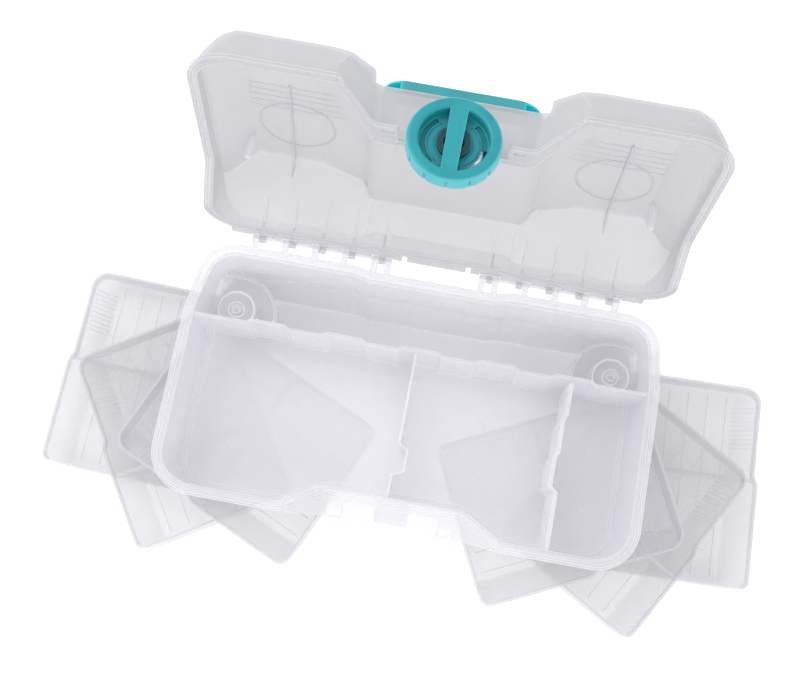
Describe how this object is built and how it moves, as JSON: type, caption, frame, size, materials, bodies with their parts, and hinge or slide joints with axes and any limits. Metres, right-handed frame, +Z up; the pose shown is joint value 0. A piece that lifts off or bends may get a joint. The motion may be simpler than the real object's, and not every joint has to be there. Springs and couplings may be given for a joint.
{
  "type": "sewing box with swing-out trays",
  "caption": "Translucent sewing box with hinged lid, rotary latch, carry handle, divided bin and swing-out trays",
  "frame": {"origin": "centre of the underside of the deep rear well, on the ground", "axes": "+X to the right of a user facing the latch, -Y to the front, +Z up"},
  "size_m": [0.6208, 0.3541, 0.365],
  "materials": {
    "shell_plastic": "translucent frosted polypropylene",
    "tray_plastic": "translucent frosted polypropylene",
    "knob_plastic": "satin teal polypropylene",
    "handle_plastic": "satin teal polypropylene",
    "dark_plastic": "dark teal acetal",
    "post_plastic": "natural white polypropylene",
    "screw_plastic": "white nylon"
  },
  "bodies": {
    "case": {"case_body": "shell_plastic", "hinge_pin_left": "post_plastic", "hinge_pin_right": "post_plastic", "pivot_post_left": "post_plastic", "pivot_post_right": "post_plastic", "pivot_screws": "screw_plastic", "bin_partition_centre": "tray_plastic", "bin_partition_side": "tray_plastic"},
    "lid": {"lid": "shell_plastic", "knob_retainer": "dark_plastic"},
    "knob": {"latch_knob": "knob_plastic"},
    "handle": {"carry_handle": "handle_plastic"},
    "tray_left_lower": {"tray_left_lower": "tray_plastic", "tray_partition_left_lower": "tray_plastic"},
    "tray_right_lower": {"tray_right_lower": "tray_plastic", "tray_partition_right_lower": "tray_plastic"},
    "tray_left_middle": {"tray_left_middle": "tray_plastic", "tray_partition_left_middle": "tray_plastic"},
    "tray_right_middle": {"tray_right_middle": "tray_plastic", "tray_partition_right_middle": "tray_plastic"},
    "tray_left_upper": {"tray_left_upper": "tray_plastic", "tray_partition_left_upper": "tray_plastic"},
    "tray_right_upper": {"tray_right_upper": "tray_plastic", "tray_partition_right_upper": "tray_plastic"}
  },
  "joints": [
    {"name": "lid_hinge", "type": "hinge", "parent": "case", "child": "lid", "pos_m": [0, 0.044, 0.141], "axis": [1, 0, 0], "range_deg": [0, 101]},
    {"name": "knob_turn", "type": "hinge", "parent": "lid", "child": "knob", "pos_m": [0, 0.07434, 0.35107], "axis": [0, 0.1908, 0.9816], "range_deg": [-90, 0]},
    {"name": "handle_lift", "type": "hinge", "parent": "lid", "child": "handle", "pos_m": [0, 0.11147, 0.26643], "axis": [1, 0, 0], "range_deg": [-95, 0]},
    {"name": "tray_left_lower_swing", "type": "hinge", "parent": "case", "child": "tray_left_lower", "pos_m": [-0.1555, -0.0135, 0], "axis": [0, 0, 1], "range_deg": [-3, 92]},
    {"name": "tray_right_lower_swing", "type": "hinge", "parent": "case", "child": "tray_right_lower", "pos_m": [0.1555, -0.0135, 0], "axis": [0, 0, 1], "range_deg": [-92, 3]},
    {"name": "tray_left_middle_swing", "type": "hinge", "parent": "case", "child": "tray_left_middle", "pos_m": [-0.1555, -0.0135, 0], "axis": [0, 0, 1], "range_deg": [-37, 58]},
    {"name": "tray_right_middle_swing", "type": "hinge", "parent": "case", "child": "tray_right_middle", "pos_m": [0.1555, -0.0135, 0], "axis": [0, 0, 1], "range_deg": [-60, 35]},
    {"name": "tray_left_upper_swing", "type": "hinge", "parent": "case", "child": "tray_left_upper", "pos_m": [-0.1555, -0.0135, 0], "axis": [0, 0, 1], "range_deg": [-71, 24]},
    {"name": "tray_right_upper_swing", "type": "hinge", "parent": "case", "child": "tray_right_upper", "pos_m": [0.1555, -0.0135, 0], "axis": [0, 0, 1], "range_deg": [-26, 69]}
  ]
}
